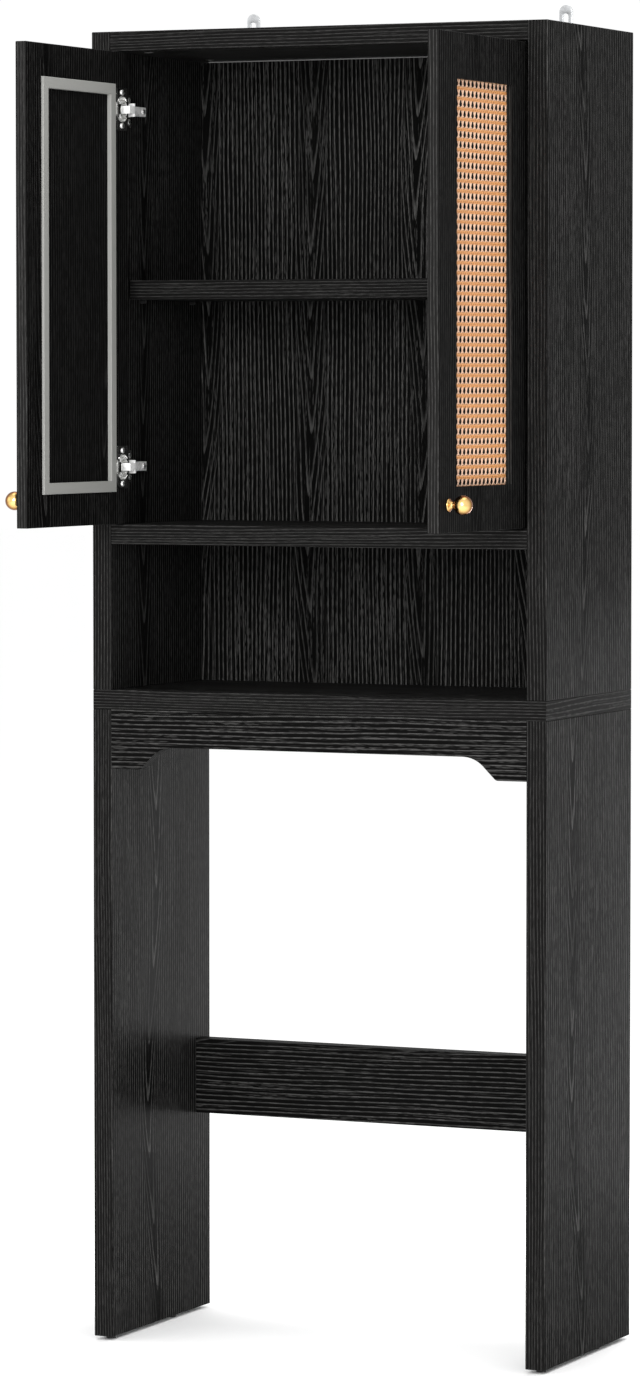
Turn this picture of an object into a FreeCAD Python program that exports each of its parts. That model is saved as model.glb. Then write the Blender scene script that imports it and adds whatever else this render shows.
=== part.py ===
"""Over the toilet storage rack: two leg panels under a cabinet with two cane-fronted doors.

Millimetres, +Z up. X runs across the rack, Y from its front to the wall behind it. The origin is
on the floor, under the middle of the rack as it stands with both doors open at a right angle.
"""
import FreeCAD, Part
import os
import re
import Sketcher

doc = FreeCAD.newDocument("StorageRack")

# ---------------------------------------------------------------------------------------------
# Driving sizes
# ---------------------------------------------------------------------------------------------
SIZES = {
    # carcass
    "overall_width": 636.0,
    "overall_depth": 296.0,
    "side_thick": 26.5,
    "board_thick": 25.5,
    "leg_height": 822.7,
    "upper_height": 851.8,
    "open_height": 189.5,
    "edge_round": 1.0,
    # shelf that stands on pins
    "inner_shelf_rise": 292.5,
    "inner_shelf_thick": 24.5,
    "inner_shelf_setback": 54.0,
    "inner_shelf_clearance": 1.0,
    # back panel and the grooves that hold it
    "back_setback": 20.0,
    "back_thick": 3.0,
    "back_gap": 1.0,
    "groove_depth": 5.0,
    "groove_clearance": 0.2,
    # apron under the middle board
    "apron_thick": 20.0,
    "apron_middle": 47.7,
    "apron_end": 76.9,
    "apron_flat": 41.5,
    "apron_sweep": 40.0,
    "apron_corner": 7.0,
    # low rail between the legs
    "rail_thick": 25.5,
    "rail_height": 100.5,
    "rail_rise": 265.5,
    "rail_setback": 18.0,
    # nailed foot glides
    "glide_height": 5.0,
    "glide_radius": 6.5,
    "glide_round": 1.5,
    "glide_front": 22.0,
    "glide_rear": 204.0,
    "glide_nail_radius": 1.2,
    "glide_nail_length": 12.0,
    # doors
    "door_thick": 15.0,
    "hinge_gap": 3.0,
    "centre_gap": 2.0,
    "door_gap": 1.5,
    "pivot_inset": 8.0,
    "pivot_depth": 7.0,
    "window_land": 2.5,
    "lip_thick": 7.5,
    "rebate_width": 14.5,
    "insert_clearance": 0.3,
    "webbing_thick": 2.0,
    "backing_thick": 3.0,
    "retainer_proud": 3.0,
    "retainer_round": 0.8,
    # door knobs
    "knob_inset": 31.5,
    "knob_rise": 34.0,
    "knob_ball_radius": 12.0,
    "knob_stand_out": 19.0,
    "knob_foot_radius": 8.4,
    "knob_foot_thick": 2.4,
    "knob_neck_radius": 3.2,
    "knob_taper": 3.6,
    "knob_stud_radius": 2.0,
    "knob_stud_bite": 12.0,
    "knob_stud_depth": 10.5,
    # concealed hinges
    "hinge_end": 73.5,
    "cup_radius": 17.5,
    "cup_edge": 4.0,
    "cup_depth": 11.3,
    "cup_wall": 0.6,
    "flange_thick": 1.8,
    "flange_width": 28.0,
    "flange_height": 55.3,
    "flange_edge": 8.0,
    "flange_round": 3.0,
    "housing_edge": 24.6,
    "housing_width": 8.0,
    "housing_height": 13.0,
    "housing_proud": 2.0,
    "pin_radius": 1.3,
    "pin_play": 0.05,
    "pin_length": 21.6,
    "knuckle_radius": 2.2,
    "neck_height": 10.0,
    "neck_front": 1.6,
    "neck_back": 1.0,
    "crank_reach": 14.6,
    "crank_thick": 2.6,
    "crank_rise": 12.4,
    "arm_height": 17.0,
    "arm_tail_height": 12.0,
    "arm_thick": 8.0,
    "arm_head_length": 16.0,
    "arm_length": 61.0,
    "plate_thick": 4.0,
    "plate_start": 22.0,
    "plate_wing_thick": 2.0,
    "plate_wing_width": 15.0,
    "plate_wing_height": 42.0,
    "plate_screw_setback": 50.0,
    "plate_screw_spacing": 28.0,
    "cup_screw_spacing": 42.8,
    "arm_screw_front": 30.0,
    "arm_screw_rear": 66.0,
    "hinge_screw_radius": 1.8,
    "hinge_screw_length": 11.0,
    "hinge_head_radius": 3.6,
    "hinge_head_thick": 1.6,
    # anti-tip brackets on the top board
    "bracket_offset": 224.5,
    "bracket_width": 18.5,
    "bracket_thick": 2.0,
    "bracket_height": 38.0,
    "bracket_foot": 30.0,
    "bracket_slot_width": 7.0,
    "bracket_slot_low": 9.0,
    "bracket_slot_high": 27.0,
    "bracket_screw_radius": 2.0,
    "bracket_screw_length": 16.0,
    "bracket_head_radius": 3.8,
    "bracket_head_thick": 2.0,
    # cam locks, dowels, studs and shelf pins
    "cam_radius": 7.5,
    "cam_depth": 12.7,
    "cam_setback": 34.0,
    "cam_line": 9.5,
    "cam_edge": 45.0,
    "rail_cam_edge": 24.0,
    "cam_bolt_radius": 3.0,
    "cam_bolt_bite": 11.0,
    "cam_bolt_clearance": 0.5,
    "dowel_radius": 4.0,
    "dowel_bite": 12.0,
    "dowel_edge": 80.0,
    "stud_radius": 3.0,
    "stud_bite": 18.0,
    "stud_edge": 40.0,
    "shelf_pin_radius": 2.5,
    "shelf_pin_bite": 9.0,
    "shelf_pin_reach": 7.0,
    "shelf_pin_edge": 35.0,
}

sheet = doc.addObject("Spreadsheet::Sheet", "Sizes")
for row, (alias, value) in enumerate(SIZES.items(), start=1):
    sheet.set("A%d" % row, alias.replace("_", " "))
    sheet.set("B%d" % row, str(value))
    sheet.setAlias("B%d" % row, alias)
doc.recompute()

# Places worked out from the driving sizes
INNER = "(overall_width / 2 - side_thick)"
MID_SIDE = "(overall_width / 2 - side_thick / 2)"
LEG_TOP = "(glide_height + leg_height)"
MIDDLE_TOP = f"({LEG_TOP} + board_thick)"
SHELF_LOW = f"({MIDDLE_TOP} + open_height)"
SHELF_TOP = f"({SHELF_LOW} + board_thick)"
RACK_TOP = f"({MIDDLE_TOP} + upper_height)"
TOP_LOW = f"({RACK_TOP} - board_thick)"
DOOR_WIDTH = f"({INNER} - hinge_gap - centre_gap / 2)"
FRONT = f"(({DOOR_WIDTH} - pivot_inset - pivot_depth - overall_depth) / 2)"
REAR = f"({FRONT} + overall_depth)"
BACK_FACE = f"({REAR} - back_setback - back_thick)"
PIVOT_X = f"({INNER} - hinge_gap - pivot_inset)"
PIVOT_Y = f"({FRONT} + pivot_depth)"
DOOR_OUTER = f"({PIVOT_X} + pivot_depth)"
DOOR_INNER = f"({DOOR_OUTER} - door_thick)"
DOOR_HINGE_EDGE = f"({PIVOT_Y} + pivot_inset)"
DOOR_FREE_EDGE = f"({DOOR_HINGE_EDGE} - {DOOR_WIDTH})"
DOOR_LOW = f"({SHELF_TOP} + door_gap)"
DOOR_HIGH = f"({TOP_LOW} - door_gap)"
WINDOW_MARGIN = "(cup_edge + 2 * cup_radius + window_land + rebate_width)"


# ---------------------------------------------------------------------------------------------
# Modelling helpers: every size and place is an expression over the sheet
# ---------------------------------------------------------------------------------------------
TURNS = {
    "Z": FreeCAD.Rotation(),
    "-Z": FreeCAD.Rotation(FreeCAD.Vector(1, 0, 0), 180),
    "X": FreeCAD.Rotation(FreeCAD.Vector(0, 1, 0), 90),
    "-X": FreeCAD.Rotation(FreeCAD.Vector(0, 1, 0), -90),
    "Y": FreeCAD.Rotation(FreeCAD.Vector(1, 0, 0), -90),
    "-Y": FreeCAD.Rotation(FreeCAD.Vector(1, 0, 0), 90),
}
subparts = []


def from_sheet(expression):
    """Write an expression's size names as references to the sheet's cells."""
    def cell(match):
        word = match.group(0)
        return "Sizes." + word if word in SIZES else word
    return re.sub(r"[a-z_]+", cell, expression)


def bind(item, prop, expression):
    item.setExpression(prop, from_sheet(expression))


def present(expression):
    """The value that an expression has now."""
    return float(sheet.evalExpression(from_sheet(expression)))


def place(item, at, axis="Z"):
    item.Placement = FreeCAD.Placement(FreeCAD.Vector(), TURNS[axis])
    for letter, expression in zip("xyz", at):
        bind(item, "Placement.Base." + letter, expression)


def subpart(label):
    """A new body, kept as one named sub-part."""
    body = doc.addObject("PartDesign::Body", "Body_" + label)
    body.Label = label
    subparts.append(body)
    return body


def feature(body, kind, name):
    return body.newObject("PartDesign::" + kind, body.Label + "_" + name)


def block(body, name, x, y, z, kind="AdditiveBox"):
    """A box between two X, two Y and two Z planes."""
    item = feature(body, kind, name)
    place(item, (x[0], y[0], z[0]))
    for prop, (low, high) in zip(("Length", "Width", "Height"), (x, y, z)):
        bind(item, prop, f"({high}) - ({low})")
    return item


def cut_block(body, name, x, y, z):
    return block(body, name, x, y, z, "SubtractiveBox")


def rod(body, name, radius, length, at, axis, kind="AdditiveCylinder"):
    item = feature(body, kind, name)
    place(item, at, axis)
    bind(item, "Radius", radius)
    bind(item, "Height", length)
    return item


def drill(body, name, radius, depth, at, axis):
    return rod(body, name, radius, depth, at, axis, "SubtractiveCylinder")


def round_edges(body, radius, edges=None):
    """Round every edge of the newest feature, or only the named ones."""
    doc.recompute()
    base = body.Tip
    item = feature(body, "Fillet", "round")
    item.Base = (base, edges or [])
    item.UseAllEdges = edges is None
    bind(item, "Radius", radius)
    return item


def edges_where(body, test):
    """Names of the newest feature's edges that pass a test on their middle point and direction."""
    doc.recompute()
    names = []
    for number, edge in enumerate(body.Tip.Shape.Edges, start=1):
        ends = [vertex.Point for vertex in edge.Vertexes]
        if len(ends) == 2 and test(edge.CenterOfMass, ends[1] - ends[0]):
            names.append("Edge%d" % number)
    return names


def pad_outline(body, points, plane, offset, length):
    """Pad a closed outline, each corner held by two bound distances from the sketch origin."""
    sketch = body.newObject("Sketcher::SketchObject", body.Label + "_outline")
    support = next(item for item in body.Origin.OriginFeatures if item.Role == plane)
    sketch.AttachmentSupport = [(support, "")]
    sketch.MapMode = "FlatFace"
    bind(sketch, "AttachmentOffset.Base.z", offset)
    corners = [FreeCAD.Vector(present(across), present(up), 0) for across, up in points]
    for number, corner in enumerate(corners):
        sketch.addGeometry(Part.LineSegment(corners[number - 1], corner))
    for number, (across, up) in enumerate(points):
        following = (number + 1) % len(points)
        sketch.addConstraint(Sketcher.Constraint("Coincident", number, 2, following, 1))
        for kind, place_of in (("DistanceX", across), ("DistanceY", up)):
            held = Sketcher.Constraint(kind, -1, 1, number, 2, present(place_of))
            bind(sketch, "Constraints[%d]" % sketch.addConstraint(held), place_of)
    pad = feature(body, "Pad", "pad")
    pad.Profile = sketch
    bind(pad, "Length", length)
    return pad


def board(label, x, y, z):
    body = subpart(label)
    block(body, "board", x, y, z)
    round_edges(body, "edge_round")
    return body


def group(label, pieces):
    """Identical loose pieces kept together as one sub-part of separate solids."""
    compound = doc.addObject("Part::Compound", "Group_" + label)
    compound.Label = label
    compound.Links = pieces
    subparts.append(compound)
    return compound


def cylinder(name, radius, length, at, axis):
    item = doc.addObject("Part::Cylinder", name)
    place(item, at, axis)
    bind(item, "Radius", radius)
    bind(item, "Height", length)
    return item


def screw(name, radius, length, head_radius, head_thick, seat, axis):
    """A pan-head screw: its head stands on the seat, its shank runs from there along the axis."""
    shank = cylinder(name + "_shank", radius, length, seat, axis)
    turned = axis[1:] if axis.startswith("-") else "-" + axis
    head = cylinder(name + "_head", head_radius, head_thick, seat, turned)
    joined = doc.addObject("Part::Fuse", name)
    joined.Base = shank
    joined.Tool = head
    return joined


class Side:
    """The left or the right half: turns a distance from the middle plane into X."""

    def __init__(self, name, sign):
        self.name = name
        self.sign = sign
        self.outward = "X" if sign > 0 else "-X"
        self.inward = "-X" if sign > 0 else "X"

    def x(self, distance):
        return f"{self.sign} * ({distance})"

    def span(self, near, far):
        ends = (self.x(near), self.x(far))
        return ends if self.sign > 0 else ends[::-1]


LEFT = Side("left", -1)
RIGHT = Side("right", 1)
SIDES = (LEFT, RIGHT)
FULL_DEPTH = (FRONT, REAR)
BETWEEN_SIDES = (f"-{INNER}", INNER)


# ---------------------------------------------------------------------------------------------
# Lower module: legs, middle board, apron, rail, glides
# ---------------------------------------------------------------------------------------------
legs = {}
for side in SIDES:
    legs[side] = board(side.name + "_leg_panel", side.span(INNER, "overall_width / 2"),
                       FULL_DEPTH, ("glide_height", LEG_TOP))

middle_board = board("middle_board", ("-overall_width / 2", "overall_width / 2"), FULL_DEPTH,
                     (LEG_TOP, MIDDLE_TOP))


def make_apron():
    """Rail flush with the front, whose lower edge steps up between its ends in a swept corner."""
    body = subpart("front_apron")
    low_end = f"{LEG_TOP} - apron_end"
    low_middle = f"{LEG_TOP} - apron_middle"
    half_low = f"({INNER} - apron_flat)"
    half_high = f"({half_low} - apron_end + apron_middle)"
    outline = [
        (f"-{INNER}", low_end), (f"-{half_low}", low_end), (f"-{half_high}", low_middle),
        (half_high, low_middle), (half_low, low_end), (INNER, low_end),
        (INNER, LEG_TOP), (f"-{INNER}", LEG_TOP),
    ]
    pad = pad_outline(body, outline, "XZ_Plane", f"-{FRONT}", "apron_thick")
    pad.Reversed = True
    for level, reach, radius in ((low_middle, half_high, "apron_sweep"),
                                 (low_end, half_low, "apron_corner")):
        def at_corner(middle, run):
            near = abs(abs(middle.x) - present(reach)) < 0.1 and abs(middle.z - present(level)) < 0.1
            return near and abs(run.y) > 1
        round_edges(body, radius, edges_where(body, at_corner))
    return body


apron = make_apron()
rail = board("rear_rail", BETWEEN_SIDES,
             (f"{REAR} - rail_setback - rail_thick", f"{REAR} - rail_setback"),
             ("glide_height + rail_rise", "glide_height + rail_rise + rail_height"))


def make_glides():
    """Four round plastic glides, each with a nail up into the end of a leg."""
    glides = []
    for side in SIDES:
        for end in ("front", "rear"):
            at = (side.x(MID_SIDE), f"{FRONT} + glide_{end}", "0")
            name = f"{side.name}_{end}"
            foot = cylinder("glide_foot_" + name, "glide_radius", "glide_height", at, "Z")
            seat = at[:2] + ("glide_height",)
            nail = cylinder("glide_nail_" + name, "glide_nail_radius", "glide_nail_length", seat, "Z")
            glide = doc.addObject("Part::Fuse", "glide_" + name)
            glide.Base = foot
            glide.Tool = nail
            glides.append(glide)
            drill(legs[side], "nail_hole_" + end, "glide_nail_radius", "glide_nail_length", seat, "Z")
    return group("foot_glides", glides)


make_glides()


# ---------------------------------------------------------------------------------------------
# Upper module: sides, top, shelves, back
# ---------------------------------------------------------------------------------------------
sides = {}
for side in SIDES:
    sides[side] = board(side.name + "_side_panel", side.span(INNER, "overall_width / 2"),
                        FULL_DEPTH, (MIDDLE_TOP, RACK_TOP))
    cut_block(sides[side], "back_groove", side.span(INNER, f"{INNER} + groove_depth"),
               (f"{BACK_FACE} - groove_clearance", f"{REAR} - back_setback + groove_clearance"),
               (MIDDLE_TOP, TOP_LOW))

top_board = board("top_board", BETWEEN_SIDES, FULL_DEPTH, (TOP_LOW, RACK_TOP))
fixed_shelf = board("fixed_shelf", BETWEEN_SIDES, (FRONT, f"{BACK_FACE} - groove_clearance"),
                    (SHELF_LOW, SHELF_TOP))

PANEL_REACH = f"({INNER} + groove_depth - groove_clearance)"
back_panel = subpart("back_panel")
block(back_panel, "sheet", (f"-{PANEL_REACH}", PANEL_REACH), (BACK_FACE, f"{REAR} - back_setback"),
      (MIDDLE_TOP, f"{TOP_LOW} - back_gap"))

INNER_SHELF_LOW = f"({SHELF_TOP} + inner_shelf_rise)"
INNER_SHELF_REACH = f"({INNER} - inner_shelf_clearance)"
inner_shelf = board("inner_shelf", (f"-{INNER_SHELF_REACH}", INNER_SHELF_REACH),
                    (f"{FRONT} + inner_shelf_setback", f"{BACK_FACE} - inner_shelf_clearance"),
                    (INNER_SHELF_LOW, f"{INNER_SHELF_LOW} + inner_shelf_thick"))


def make_shelf_pins():
    pins = []
    level = f"{INNER_SHELF_LOW} - shelf_pin_radius"
    rows = {"front": f"{FRONT} + inner_shelf_setback + shelf_pin_edge",
            "rear": f"{BACK_FACE} - inner_shelf_clearance - shelf_pin_edge"}
    for side in SIDES:
        for row_name, row_y in rows.items():
            start = (side.x(f"{INNER} - shelf_pin_reach"), row_y, level)
            length = "shelf_pin_reach + shelf_pin_bite"
            pins.append(cylinder(f"pin_{side.name}_{row_name}", "shelf_pin_radius", length, start,
                                 side.outward))
            drill(sides[side], "pin_hole_" + row_name, "shelf_pin_radius", "shelf_pin_bite",
                  (side.x(INNER), row_y, level), side.outward)
    return group("shelf_pins", pins)


make_shelf_pins()


# ---------------------------------------------------------------------------------------------
# Knock-down fittings inside the boards
# ---------------------------------------------------------------------------------------------
cam_discs = []
cam_bolts = []


def cam_joint(held, mate, side, y, z, disc_axis, name):
    """A cam disc let into one board grips a bolt that crosses the joint into its neighbour.

    The disc's mouth is at y, z on the held board's face and its axis runs into the board. The
    bolt runs outward, on the cam line below that face, from the disc's rim into the mate.
    """
    centre_x = side.x(f"{INNER} - cam_setback")
    mouth = (centre_x, y, z)
    drill(held, "cam_seat_" + name, "cam_radius", "cam_depth", mouth, disc_axis)
    cam_discs.append(cylinder("cam_" + name, "cam_radius", "cam_depth", mouth, disc_axis))
    if disc_axis == "Z":
        line = (y, f"{z} + cam_line")
    else:
        line = (f"{y} - cam_line", z)
    start = side.x(f"{INNER} - cam_setback + cam_radius")
    run = "cam_setback - cam_radius"
    drill(held, "bolt_bore_" + name, "cam_bolt_radius + cam_bolt_clearance", run, (start,) + line,
          side.outward)
    drill(mate, "bolt_hole_" + name, "cam_bolt_radius", "cam_bolt_bite", (side.x(INNER),) + line,
          side.outward)
    cam_bolts.append(cylinder("cam_bolt_" + name, "cam_bolt_radius", run + " + cam_bolt_bite",
                              (start,) + line, side.outward))


APRON_BACK = f"({FRONT} + apron_thick)"
RAIL_BACK = f"({REAR} - rail_setback)"
RAIL_LOW = "(glide_height + rail_rise)"
for side in SIDES:
    for row_name, row_y in (("front", f"{FRONT} + cam_edge"), ("rear", f"{BACK_FACE} - cam_edge")):
        ends = f"{side.name}_{row_name}"
        cam_joint(top_board, sides[side], side, row_y, TOP_LOW, "Z", "top_" + ends)
        cam_joint(fixed_shelf, sides[side], side, row_y, SHELF_LOW, "Z", "shelf_" + ends)
    cam_joint(apron, legs[side], side, APRON_BACK, f"{LEG_TOP} - apron_middle / 2", "-Y",
              "apron_" + side.name)
    for level, height in (("low", f"{RAIL_LOW} + rail_cam_edge"),
                          ("high", f"{RAIL_LOW} + rail_height - rail_cam_edge")):
        cam_joint(rail, legs[side], side, RAIL_BACK, height, "-Y", f"rail_{side.name}_{level}")
group("cam_discs", cam_discs)
group("cam_bolts", cam_bolts)


def make_upright_joints(label, radius, bite, edge):
    """Straight fittings that pass through the middle board into the leg and the side above it."""
    fittings = []
    for side in SIDES:
        for row_name, row_y in (("front", f"{FRONT} + {edge}"), ("rear", f"{REAR} - {edge}")):
            low = (side.x(MID_SIDE), row_y, f"{LEG_TOP} - {bite}")
            length = f"board_thick + 2 * {bite}"
            fittings.append(cylinder(f"{label}_{side.name}_{row_name}", radius, length, low, "Z"))
            for held in (legs[side], middle_board, sides[side]):
                drill(held, f"{label}_{side.name}_{row_name}_hole", radius, length, low, "Z")
    return group(label, fittings)


make_upright_joints("dowels", "dowel_radius", "dowel_bite", "dowel_edge")
make_upright_joints("joining_studs", "stud_radius", "stud_bite", "stud_edge")


# ---------------------------------------------------------------------------------------------
# Doors, drawn open at a right angle to the front
# ---------------------------------------------------------------------------------------------
def window(outset="0"):
    """The Y and Z planes of the door's window, moved outwards on every side.

    The border round it leaves room for a hinge cup beside the rebate behind its edge.
    """
    across = (f"{DOOR_FREE_EDGE} + {WINDOW_MARGIN} - {outset}",
              f"{DOOR_HINGE_EDGE} - {WINDOW_MARGIN} + {outset}")
    up = (f"{DOOR_LOW} + {WINDOW_MARGIN} - {outset}", f"{DOOR_HIGH} - {WINDOW_MARGIN} + {outset}")
    return across, up


def make_door(side):
    body = board(side.name + "_door", side.span(DOOR_INNER, DOOR_OUTER),
                 (DOOR_FREE_EDGE, DOOR_HINGE_EDGE), (DOOR_LOW, DOOR_HIGH))
    cut_block(body, "window", side.span(DOOR_INNER, DOOR_OUTER), *window())
    cut_block(body, "rebate", side.span(DOOR_INNER, f"{DOOR_OUTER} - lip_thick"),
               *window("rebate_width"))
    return body


def make_insert(side, name, start, thick):
    """A flat sheet that lies in the door's rebate, a given depth behind its outer face."""
    body = subpart(f"{side.name}_{name}")
    front_face = f"{DOOR_OUTER} - {start}"
    block(body, "sheet", side.span(f"{front_face} - {thick}", front_face),
          *window("(rebate_width - insert_clearance)"))
    return body


def make_retainer(side):
    """A frame that fills the rebate behind the sheets and stands proud of the door's back."""
    body = subpart(side.name + "_retainer_frame")
    start = "(lip_thick + webbing_thick + backing_thick)"
    depth = side.span(f"{DOOR_INNER} - retainer_proud", f"{DOOR_OUTER} - {start}")
    block(body, "frame", depth, *window("(rebate_width - insert_clearance)"))
    cut_block(body, "opening", depth, *window())

    def on_back(middle, run):
        return abs(abs(middle.x) - present(f"{DOOR_INNER} - retainer_proud")) < 0.1
    round_edges(body, "retainer_round", edges_where(body, on_back))
    return body


KNOB_Y = f"({DOOR_FREE_EDGE} + knob_inset)"
KNOB_Z = f"({DOOR_LOW} + knob_rise)"


def make_knob(side, door):
    """A ball on a waisted neck and a round foot, on a stud screwed into the front of the door."""
    body = subpart(side.name + "_knob")

    def on_axis(distance):
        return (side.x(f"{DOOR_OUTER} + {distance}"), KNOB_Y, KNOB_Z)
    rod(body, "foot", "knob_foot_radius", "knob_foot_thick", on_axis("0"), side.outward)
    taper = feature(body, "AdditiveCone", "taper")
    place(taper, on_axis("knob_foot_thick"), side.outward)
    bind(taper, "Radius1", "knob_foot_radius - knob_foot_thick")
    bind(taper, "Radius2", "knob_neck_radius")
    bind(taper, "Height", "knob_taper")
    rod(body, "neck", "knob_neck_radius", "knob_stand_out", on_axis("0"), side.outward)
    ball = feature(body, "AdditiveSphere", "ball")
    place(ball, on_axis("knob_stand_out"), side.outward)
    bind(ball, "Radius", "knob_ball_radius")
    drill(body, "thread", "knob_stud_radius", "knob_stud_bite", on_axis("0"), side.outward)

    seat = (side.x(f"{DOOR_OUTER} - knob_stud_depth"), KNOB_Y, KNOB_Z)
    drill(door, "knob_hole", "knob_stud_radius", "knob_stud_depth", seat, side.outward)
    stud = cylinder(side.name + "_stud", "knob_stud_radius", "knob_stud_depth + knob_stud_bite",
                    seat, side.outward)
    stud.Label = side.name + "_knob_stud"
    subparts.append(stud)


# ---------------------------------------------------------------------------------------------
# Concealed hinges: a cup in the door turns on a pin in the end of an arm fixed to the side
# ---------------------------------------------------------------------------------------------
CUP_Y = f"({DOOR_HINGE_EDGE} - cup_edge - cup_radius)"
HINGE_LEVELS = {"upper": f"({DOOR_HIGH} - hinge_end)", "lower": f"({DOOR_LOW} + hinge_end)"}


def about(centre, size):
    """Two planes, half a size each way from a centre."""
    return (f"{centre} - {size} / 2", f"{centre} + {size} / 2")


def make_cup(side, door, level, height):
    body = subpart(f"{side.name}_{level}_hinge_cup")
    mouth = (side.x(DOOR_INNER), CUP_Y, height)
    rod(body, "bowl", "cup_radius", "cup_depth", mouth, side.outward)
    flange_x = side.span(f"{DOOR_INNER} - flange_thick", DOOR_INNER)
    flange_y = (f"{DOOR_HINGE_EDGE} - flange_edge - flange_width", f"{DOOR_HINGE_EDGE} - flange_edge")
    block(body, "flange", flange_x, flange_y, about(height, "flange_height"))
    drill(body, "hollow", "cup_radius - cup_wall", "flange_thick + cup_depth - cup_wall",
          (side.x(f"{DOOR_INNER} - flange_thick"), CUP_Y, height), side.outward)
    housing_x = side.span(f"{DOOR_INNER} - housing_proud", f"{DOOR_INNER} + cup_depth - cup_wall / 2")
    housing_y = (f"{DOOR_HINGE_EDGE} - housing_edge - housing_width",
                 f"{DOOR_HINGE_EDGE} - housing_edge")
    block(body, "spring_housing", housing_x, housing_y, about(height, "housing_height"))
    drill(door, f"{level}_cup_bore", "cup_radius", "cup_depth", mouth, side.outward)
    for held in (body, door):
        drill(held, f"{level}_pin_seat", "pin_radius", "pin_length",
              (side.x(PIVOT_X), PIVOT_Y, f"{height} - pin_length / 2"), "Z")
    return body


def make_arm(side, level, height):
    """Knuckle on the pin, crank out of the cup and round the door's edge, then a flat tail."""
    body = subpart(f"{side.name}_{level}_hinge_arm")
    pin_low = (side.x(PIVOT_X), PIVOT_Y, f"{height} - neck_height / 2")
    rod(body, "knuckle", "knuckle_radius", "neck_height", pin_low, "Z")
    neck_z = about(height, "neck_height")
    crank_out = f"{PIVOT_X} - crank_reach"
    tail_face = f"{INNER} - plate_thick"
    block(body, "neck", side.span(crank_out, PIVOT_X),
          (f"{PIVOT_Y} - neck_front", f"{PIVOT_Y} + neck_back"), neck_z)
    head_y = (f"{PIVOT_Y} + crank_rise", f"{PIVOT_Y} + crank_rise + arm_head_length")
    block(body, "crank", side.span(crank_out, f"{crank_out} + crank_thick"),
          (f"{PIVOT_Y} - neck_front", head_y[0]), neck_z)
    block(body, "crossing", side.span(crank_out, tail_face),
          (head_y[0], f"{head_y[0]} + crank_thick"), about(height, "arm_height"))
    block(body, "head", side.span(f"{tail_face} - arm_thick", tail_face), head_y,
          about(height, "arm_height"))
    block(body, "tail", side.span(f"{tail_face} - arm_thick", tail_face),
          (head_y[0], f"{head_y[0]} + arm_length"), about(height, "arm_tail_height"))
    drill(body, "pin_bore", "pin_radius + pin_play", "neck_height", pin_low, "Z")
    return body


def make_mounting_plate(side, level, height):
    body = subpart(f"{side.name}_{level}_mounting_plate")
    block(body, "saddle", side.span(f"{INNER} - plate_thick", INNER),
          (f"{PIVOT_Y} + plate_start", f"{PIVOT_Y} + crank_rise + arm_length"),
          about(height, "arm_tail_height"))
    block(body, "wings", side.span(f"{INNER} - plate_wing_thick", INNER),
          about(f"({FRONT} + plate_screw_setback)", "plate_wing_width"),
          about(height, "plate_wing_height"))
    return body


def hinge_screw(name, holders, seat, axis, length="hinge_screw_length"):
    """A hinge screw, and its hole in each body that it passes through."""
    for body in holders:
        drill(body, name + "_hole", "hinge_screw_radius", length, seat, axis)
    return screw(name, "hinge_screw_radius", length, "hinge_head_radius", "hinge_head_thick", seat,
                 axis)


plate_screws = []
arm_screws = []


def make_hinges(side, door):
    pins = []
    cup_screws = []
    for level, height in HINGE_LEVELS.items():
        name = f"{side.name}_{level}"
        cup = make_cup(side, door, level, height)
        arm = make_arm(side, level, height)
        plate = make_mounting_plate(side, level, height)
        pins.append(cylinder("hinge_pin_" + name, "pin_radius", "pin_length",
                             (side.x(PIVOT_X), PIVOT_Y, f"{height} - pin_length / 2"), "Z"))
        for end, step in (("low", "-"), ("high", "+")):
            flange_seat = (side.x(f"{DOOR_INNER} - flange_thick"), CUP_Y,
                           f"{height} {step} cup_screw_spacing / 2")
            cup_screws.append(hinge_screw(f"cup_screw_{name}_{end}", (cup, door), flange_seat,
                                          side.outward))
            wing_seat = (side.x(f"{INNER} - plate_wing_thick"), f"{FRONT} + plate_screw_setback",
                         f"{height} {step} plate_screw_spacing / 2")
            plate_screws.append(hinge_screw(f"plate_screw_{name}_{end}", (plate, sides[side]),
                                            wing_seat, side.outward))
        for end in ("front", "rear"):
            arm_seat = (side.x(f"{INNER} - plate_thick - arm_thick"),
                        f"{PIVOT_Y} + arm_screw_{end}", height)
            arm_screws.append(hinge_screw(f"arm_screw_{name}_{end}", (arm, plate), arm_seat,
                                          side.outward, "arm_thick + plate_thick / 2"))
    group(side.name + "_hinge_pins", pins)
    group(side.name + "_cup_screws", cup_screws)


for side in SIDES:
    door = make_door(side)
    make_insert(side, "cane_webbing", "lip_thick", "webbing_thick")
    make_insert(side, "backing_panel", "(lip_thick + webbing_thick)", "backing_thick")
    make_retainer(side)
    make_knob(side, door)
    make_hinges(side, door)
group("hinge_plate_screws", plate_screws)
group("hinge_arm_screws", arm_screws)


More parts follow.
